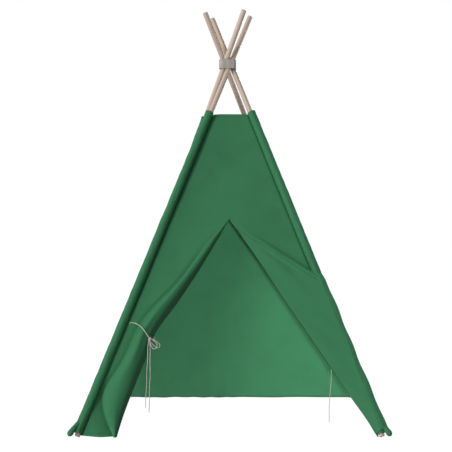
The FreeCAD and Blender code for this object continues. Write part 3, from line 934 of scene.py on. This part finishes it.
def band():
    """The webbing loop: a flat strap with firm edges, a little tilted and rippled."""
    radius = BAND_CORNER - BAND_THICK / 2
    loop = []
    for n, (sx, sy) in enumerate(((1, -1), (1, 1), (-1, 1), (-1, -1))):
        x, y = sx * (BAND_WIDTH / 2 - BAND_CORNER), sy * (BAND_DEPTH / 2 - BAND_CORNER)
        for angle in np.radians(np.linspace(-90, 0, 10) + 90 * n):
            loop.append((x + radius * math.cos(angle), y + radius * math.sin(angle), 0.0))
    loop.append(loop[0])
    loop = resample(loop, BAND_STEP)[:-1]
    outward = unit(loop)
    level = np.array([-1, -0.985, -0.93, -0.86, -0.6, -0.3, 0, 0.3, 0.6, 0.86, 0.93, 0.985, 1])
    height = level[:, None] * BAND_HEIGHT / 2
    x, y = loop[:, 0], loop[:, 1]
    ripple = 0.0004 * np.sin(math.tau * np.arange(len(loop)) / 9)
    belly = 0.0005 * (1 - level[:, None] ** 2) + ripple
    out = belly + 0.0003 * bump(np.abs(level[:, None]), 0.93, 0.05)
    tilt = -BAND_TILT * x / (BAND_WIDTH / 2)
    points = together(
        ASIDE + x + outward[:, 0] * out,
        y + outward[:, 1] * out,
        CROSSING - BAND_LOW + height + tilt,
    )
    run = np.arange(len(loop)) * BAND_STEP
    uv = together(run, height + 0.02)
    piece = skin("crossing_band_webbing", [(points, uv)], WEBBING, thickness=BAND_THICK, wrap=True)
    settle(piece, "left_side", "webbing", "crossing_band")


def band_end():
    """The band's sewn overlap on its left side, with its box of stitching."""
    low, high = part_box("crossing_band_end")
    width, height = high.y - low.y, high.z - low.z
    v = np.linspace(-0.5, 0.5, 15)[:, None] * height
    u = np.linspace(-0.5, 0.5, 19)[None] * width
    away = 0.0006 * (np.abs(u) / (width / 2)) ** 4 + 0.0003 * np.cos(v * 300)
    x = (low.x + high.x) / 2 - away
    middle = (low.z + high.z) / 2 + BAND_TILT - BAND_LOW
    points = together(x, (low.y + high.y) / 2 + u, middle + v)
    uv = together(u, v)
    piece = skin("crossing_band_overlap", [(points, uv)], WEBBING, thickness=0.0015)
    box = np.array([(-1, -1), (1, -1), (1, 1), (-1, 1), (-1, -1), (1, 1)]) * (0.38 * width, 0.38 * height)
    lines = []
    for start, end in [*zip(box, box[1:]), (box[1], box[3])]:
        flat = np.linspace(start, end, 12)
        line = together(low.x - 0.0004, flat[:, 0], middle + flat[:, 1])
        lines.append((line, np.tile([-1.0, 0, 0], (12, 1))))
    sewn = stitches("crossing_band_stitching", lines, PALE_THREAD)
    settle(piece, "left_side", "webbing", "crossing_band_end")
    settle(sewn, "left_side", "webbing")


# ---- ties ----

TIE = 0.003  # the cord's diameter


def on_front(across, height, out):
    """A point near the front from millimetres across, up and off it."""
    return side_point("front", across / 1000, height / 1000, out / 1000)


def route_line(points):
    """The points of the smooth line that a cord follows: its route's NURBS curve."""
    curve = bpy.data.curves.new("route", "CURVE")
    curve.dimensions = "3D"
    curve.resolution_u = 16
    spline = curve.splines.new("NURBS")
    spline.points.add(len(points) - 1)
    for knot, point in zip(spline.points, points):
        knot.co = (*point, 1)
    spline.order_u = 3
    spline.use_endpoint_u = True
    mesh = worked_out(in_scene("route", curve))
    line = np.array([v.co for v in mesh.vertices])
    bpy.data.meshes.remove(mesh)
    return line


def tie(node, points):
    """One length of cord along its route, for the CAD node of that name."""
    line = route_line(points)
    path = resample(line, 0.0008)
    piece = tube(f"{node}_cord", path, TIE / 2, CORD_YARN, around=18, strands=3, lay=0.013)
    settle(piece, "end_cloth", "tie_cord", node)


KNOT = on_front(-320, 366, 33)


def from_knot(*offsets):
    """Points at these distances from the knot, in millimetres."""
    return [KNOT + np.array(offset) / 1000 for offset in offsets]


def ties():
    """The left leaf's tie with its bow, and the right leaf's, which hangs loose."""
    knot = bow_knot()
    tie("left_tie_front", [on_front(*p) for p in (
        (-406, 436, 0), (-396, 436, 9), (-378, 430, 19), (-356, 414, 29), (-339, 393, 35), (-325, 372, 34),
    )])
    tie("left_tie_back", [on_front(*p) for p in (
        (-406, 428, 0), (-398, 427, -10), (-381, 424, -21), (-358, 416, -30), (-334, 403, -33),
        (-313, 390, -26), (-300, 378, -7), (-303, 370, 13), (-314, 366, 28),
    )])
    tie("left_tie_loop_lower", from_knot(
        (3, 2, -3), (12, 1, -4), (24, -2, -13), (31, -4, -26), (25, -6, -39), (14, -7, -41),
        (6, -6, -29), (1, -3, -14), (-1, 0, -5),
    ))
    tie("left_tie_loop_upper", from_knot(
        (2, 3, -2), (14, 6, -3), (29, 7, -12), (41, 6, -24), (39, 5, -36), (28, 4, -38),
        (14, 3, -26), (4, 3, -13), (0, 3, -5),
    ))
    tie("left_tie_tail_short", from_knot(
        (-4, 3, -3), (-9, 5, -39), (-8, 6, -87), (-13, 5, -134), (-12, 5, -183), (-17, 6, -231),
        (-17, 7, -278),
    ))
    tie("left_tie_tail_long", from_knot(
        (-1, 4, -3), (2, 8, -44), (0, 9, -95), (2, 8, -147), (-2, 8, -198), (-1, 7, -248), (-4, 8, -296),
    ))
    tie("right_tie", [np.array(p) / 1000 for p in (
        (412, -431, 434), (412.5, -424, 419), (412, -421.5, 393), (413.5, -421, 348), (411, -421, 300),
        (413, -422, 252), (412, -421, 205), (408, -420, 158), (404, -420, 112), (402.5, -421, 72),
        (403.5, -421, 36),
    )])


def bow_knot():
    """The knot: the cord wound tight, two and a half times, round the strands that go through it."""
    places = np.linspace(0, 1, 120)
    angle = math.tau * 2.6 * places
    swell = 0.0042 + 0.0008 * np.sin(math.pi * places)
    path = KNOT + together(
        swell * np.cos(angle) + 0.001 * places,
        swell * np.sin(angle) * 0.9,
        0.0055 - 0.0125 * places,
    )
    piece = tube("left_tie_knot_cord", path, TIE / 2 * 0.95, CORD_YARN, around=16, strands=3, lay=0.011)
    settle(piece, "end_cloth", "tie_cord", "left_tie_knot")
    return piece


# ---- the whole teepee ----

poles()
for corner in CORNERS:
    sleeve(corner, "left_side" if CORNERS[corner][0] < 0 else "right_side")
for side, body in (("left", "left_side"), ("right", "right_side"), ("rear", "end_cloth")):
    plain_side(side, body)
front_side()
left_leaf()
right_leaf()
band()
band_end()
ties()

# ---- floor, light and camera ----


def floor():
    """A plain glowing floor, white like the backdrop, that throws no light up on the teepee."""
    mesh = bpy.data.meshes.new("floor")
    reach = 30.0
    corners = [(-reach, -reach, 0), (reach, -reach, 0), (reach, reach, 0), (-reach, reach, 0)]
    mesh.from_pydata(corners, [], [(0, 1, 2, 3)])
    material = new_material("pale_floor").shade(
        Base_Color=(0.1, 0.1, 0.1, 1), Roughness=1.0, Specular_IOR_Level=0.0,
        Emission_Color=(1, 1, 1, 1), Emission_Strength=1.0,
    )
    mesh.materials.append(material)
    obj = in_scene("floor", mesh)
    obj.visible_diffuse = False


def area_light(name, place, aim, size, watts):
    """A round soft lamp at a place, turned towards its aim."""
    light = bpy.data.lights.new(name, "AREA")
    light.shape = "DISK"
    light.size = size
    light.energy = watts
    obj = in_scene(name, light)
    obj.location = place
    obj.rotation_euler = (Vector(aim) - Vector(place)).to_track_quat("-Z", "Y").to_euler()
    return obj


def backdrop():
    """White all round for the camera, and for all other rays a wide soft light from the front left."""
    w = Nodes(bpy.data.worlds.new("studio"))
    towards = w.tree.nodes.new("ShaderNodeVectorMath")
    towards.operation = "DOT_PRODUCT"
    front_left = Vector((-0.80, -0.52, 0.30)).normalized()
    w.feed_all(towards, (w.add("ShaderNodeTexCoord").outputs["Generated"], front_left))
    ramp = w.add(
        "ShaderNodeMapRange", Value=towards.outputs["Value"],
        From_Min=-0.1, From_Max=0.95, To_Min=0.045, To_Max=1.0,
    )
    fill = w.tree.nodes["Background"]
    w.feed_named(fill, {"Color": (1, 1, 1, 1), "Strength": ramp.outputs[0]})
    white = w.add("ShaderNodeBackground", Color=(1, 1, 1, 1), Strength=1.0)
    camera_ray = w.add("ShaderNodeLightPath").outputs["Is Camera Ray"]
    either = w.tree.nodes.new("ShaderNodeMixShader")
    w.feed_all(either, (camera_ray, fill.outputs[0], white.outputs[0]))
    w.feed(w.tree.nodes["World Output"].inputs["Surface"], either.outputs[0])
    bpy.context.scene.world = w.owner


def lit_only(lamp, name, pieces):
    """Makes a lamp shine only on the pieces of these names."""
    cloth = bpy.data.collections.new(name)
    for piece in pieces:
        cloth.objects.link(bpy.data.objects[piece])
    lamp.light_linking.receiver_collection = cloth


def lamps():
    """A key lamp, one behind and one at the right, two for the inside cloth and one for the right leaf."""
    area_light("key", (-4.4, -5.6, 2.2), (0.0, -0.2, 0.6), 1.6, 165)
    area_light("back", (0.6, 6.0, 2.4), (0, 0, 0.5), 2.5, 220)
    area_light("right", (5.4, 2.4, 2.2), (0, 0, 0.6), 2.5, 150)
    for across, size, watts in ((0.12, 0.15, 215), (-2.6, 2.2, 250)):
        inside = area_light("inside", (across, -6.0, 0.80), (0.1, 0.4, 0.4), size, watts)
        lit_only(inside, "inner_cloth", [f"{side}_side_cloth" for side in ("left", "rear", "right")])
    edge = area_light("edge", (5.0, -2.6, 1.0), (0.5, -0.5, 0.3), 1.6, 30)
    lit_only(edge, "folded_cloth", ["right_door_leaf_cloth"])


def camera():
    """Level, in front of the door, with a small shift for the photograph's framing."""
    lens = bpy.data.cameras.new("camera")
    lens.lens = 103.4
    lens.sensor_width = 36
    lens.shift_x = -0.0082
    lens.shift_y = 0.0084
    obj = in_scene("camera", lens)
    obj.location = (0, -5.685, 0.814)
    obj.rotation_euler = (math.radians(90), 0, 0)
    bpy.context.scene.camera = obj
    bpy.context.scene.view_settings.view_transform = "Standard"


floor()
backdrop()
lamps()
camera()
